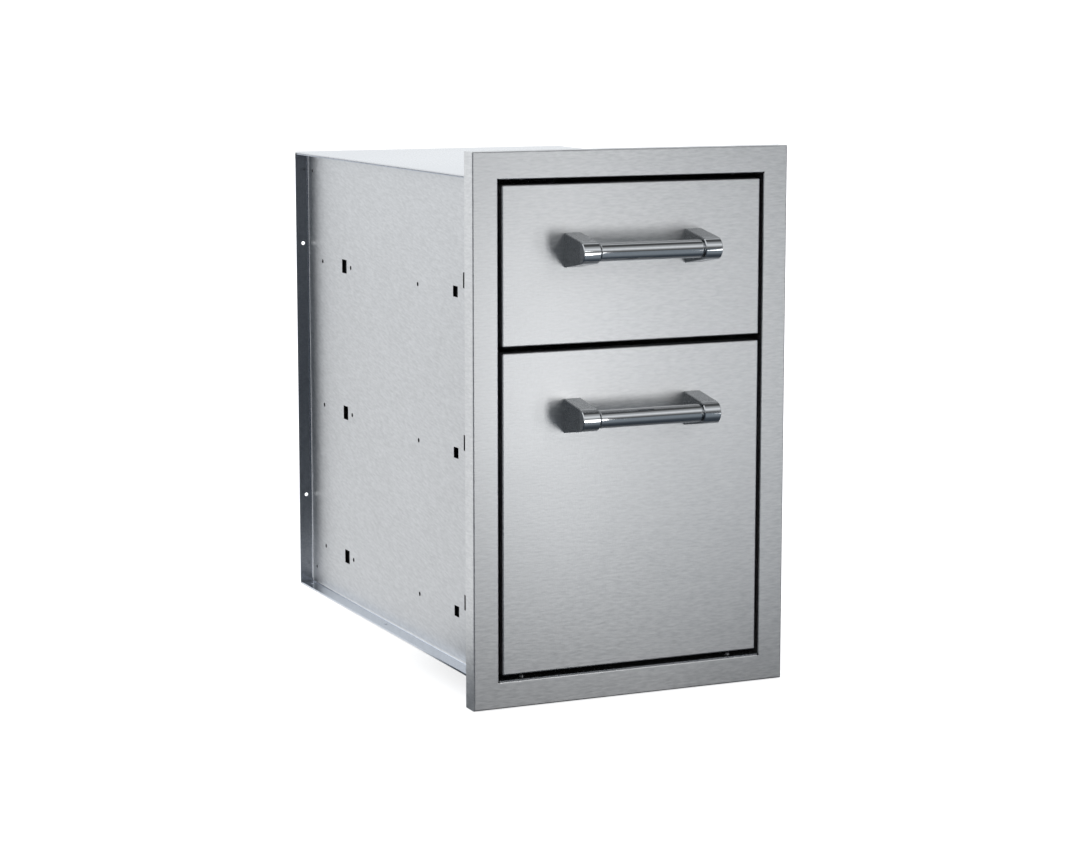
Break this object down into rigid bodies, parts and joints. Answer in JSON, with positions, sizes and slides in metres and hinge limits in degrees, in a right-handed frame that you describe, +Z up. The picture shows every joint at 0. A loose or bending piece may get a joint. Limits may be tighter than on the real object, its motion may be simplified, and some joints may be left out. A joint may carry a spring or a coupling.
{
  "type": "outdoor kitchen drawer unit",
  "caption": "Built-in stainless drawer unit with a trim frame, bar handles on round-nosed posts, full-extension ball slides and a flanged cabinet for an island cut-out.",
  "frame": {"origin": "centre of the footprint, on the level of the trim frame's underside", "axes": "+X to the right as seen from the front, +Y from the drawer fronts into the cabinet, +Z up"},
  "size_m": [0.4064, 0.6836, 0.6477],
  "materials": {
    "face_sheet": "stainless sheet with a fine horizontal brushed grain",
    "shell_sheet": "plain stainless sheet with a faint grain, satin",
    "drawer_box_sheet": "plain stainless sheet, satin",
    "handle_metal": "polished bright metal",
    "slide_black": "black coating, semi-matt",
    "cage_steel": "plain thin spring steel",
    "bearing_steel": "ground and polished bearing steel",
    "screw_steel": "plain stainless screw",
    "bumper_rubber": "black soft rubber"
  },
  "bodies": {
    "cabinet": {"face_frame": "face_sheet", "left_side_panel": "shell_sheet", "right_side_panel": "shell_sheet", "floor_panel": "shell_sheet", "top_cover": "shell_sheet", "back_panel": "shell_sheet", "frame_screws": "screw_steel", "bracket_screws": "slide_black", "rail_rivets": "slide_black", "rail_bumpers": "bumper_rubber", "upper_left_front_bracket": "slide_black", "upper_left_rear_bracket": "slide_black", "upper_left_cabinet_rail": "slide_black", "upper_right_front_bracket": "slide_black", "upper_right_rear_bracket": "slide_black", "upper_right_cabinet_rail": "slide_black", "lower_left_front_bracket": "slide_black", "lower_left_rear_bracket": "slide_black", "lower_left_cabinet_rail": "slide_black", "lower_right_front_bracket": "slide_black", "lower_right_rear_bracket": "slide_black", "lower_right_cabinet_rail": "slide_black"},
    "upper_drawer": {"upper_drawer_front": "face_sheet", "upper_drawer_liner": "drawer_box_sheet", "upper_drawer_tray": "drawer_box_sheet", "upper_drawer_back": "drawer_box_sheet", "upper_drawer_rivets": "slide_black", "upper_handle_bar": "handle_metal", "upper_handle_screws": "screw_steel", "upper_handle_left_post": "handle_metal", "upper_left_drawer_rail": "slide_black", "upper_handle_right_post": "handle_metal", "upper_right_drawer_rail": "slide_black"},
    "upper_middle_rails": {"upper_left_middle_rail": "slide_black", "upper_right_middle_rail": "slide_black"},
    "upper_outer_cages": {"upper_outer_balls": "bearing_steel", "upper_left_outer_ball_cage": "cage_steel", "upper_right_outer_ball_cage": "cage_steel"},
    "upper_inner_cages": {"upper_inner_balls": "bearing_steel", "upper_left_inner_ball_cage": "cage_steel", "upper_right_inner_ball_cage": "cage_steel"},
    "lower_drawer": {"lower_drawer_front": "face_sheet", "lower_drawer_liner": "drawer_box_sheet", "lower_drawer_tray": "drawer_box_sheet", "lower_drawer_back": "drawer_box_sheet", "lower_drawer_rivets": "slide_black", "lower_handle_bar": "handle_metal", "lower_handle_screws": "screw_steel", "lower_handle_left_post": "handle_metal", "lower_left_drawer_rail": "slide_black", "lower_handle_right_post": "handle_metal", "lower_right_drawer_rail": "slide_black"},
    "lower_middle_rails": {"lower_left_middle_rail": "slide_black", "lower_right_middle_rail": "slide_black"},
    "lower_outer_cages": {"lower_outer_balls": "bearing_steel", "lower_left_outer_ball_cage": "cage_steel", "lower_right_outer_ball_cage": "cage_steel"},
    "lower_inner_cages": {"lower_inner_balls": "bearing_steel", "lower_left_inner_ball_cage": "cage_steel", "lower_right_inner_ball_cage": "cage_steel"}
  },
  "joints": [
    {"name": "upper_drawer_slide", "type": "slide", "parent": "cabinet", "child": "upper_drawer", "axis": [0, -1, 0], "range_m": [0, 0.54]},
    {"name": "upper_middle_rails_slide", "type": "slide", "parent": "cabinet", "child": "upper_middle_rails", "axis": [0, -1, 0], "range_m": [0, 0.27]},
    {"name": "upper_outer_cages_slide", "type": "slide", "parent": "cabinet", "child": "upper_outer_cages", "axis": [0, -1, 0], "range_m": [0, 0.135]},
    {"name": "upper_inner_cages_slide", "type": "slide", "parent": "cabinet", "child": "upper_inner_cages", "axis": [0, -1, 0], "range_m": [0, 0.405]},
    {"name": "lower_drawer_slide", "type": "slide", "parent": "cabinet", "child": "lower_drawer", "axis": [0, -1, 0], "range_m": [0, 0.54]},
    {"name": "lower_middle_rails_slide", "type": "slide", "parent": "cabinet", "child": "lower_middle_rails", "axis": [0, -1, 0], "range_m": [0, 0.27]},
    {"name": "lower_outer_cages_slide", "type": "slide", "parent": "cabinet", "child": "lower_outer_cages", "axis": [0, -1, 0], "range_m": [0, 0.135]},
    {"name": "lower_inner_cages_slide", "type": "slide", "parent": "cabinet", "child": "lower_inner_cages", "axis": [0, -1, 0], "range_m": [0, 0.405]}
  ],
  "couplings": [
    {"joint": "upper_middle_rails_slide", "follows": "upper_drawer_slide", "ratio": 0.5},
    {"joint": "upper_outer_cages_slide", "follows": "upper_drawer_slide", "ratio": 0.25},
    {"joint": "upper_inner_cages_slide", "follows": "upper_drawer_slide", "ratio": 0.75},
    {"joint": "lower_middle_rails_slide", "follows": "lower_drawer_slide", "ratio": 0.5},
    {"joint": "lower_outer_cages_slide", "follows": "lower_drawer_slide", "ratio": 0.25},
    {"joint": "lower_inner_cages_slide", "follows": "lower_drawer_slide", "ratio": 0.75}
  ]
}
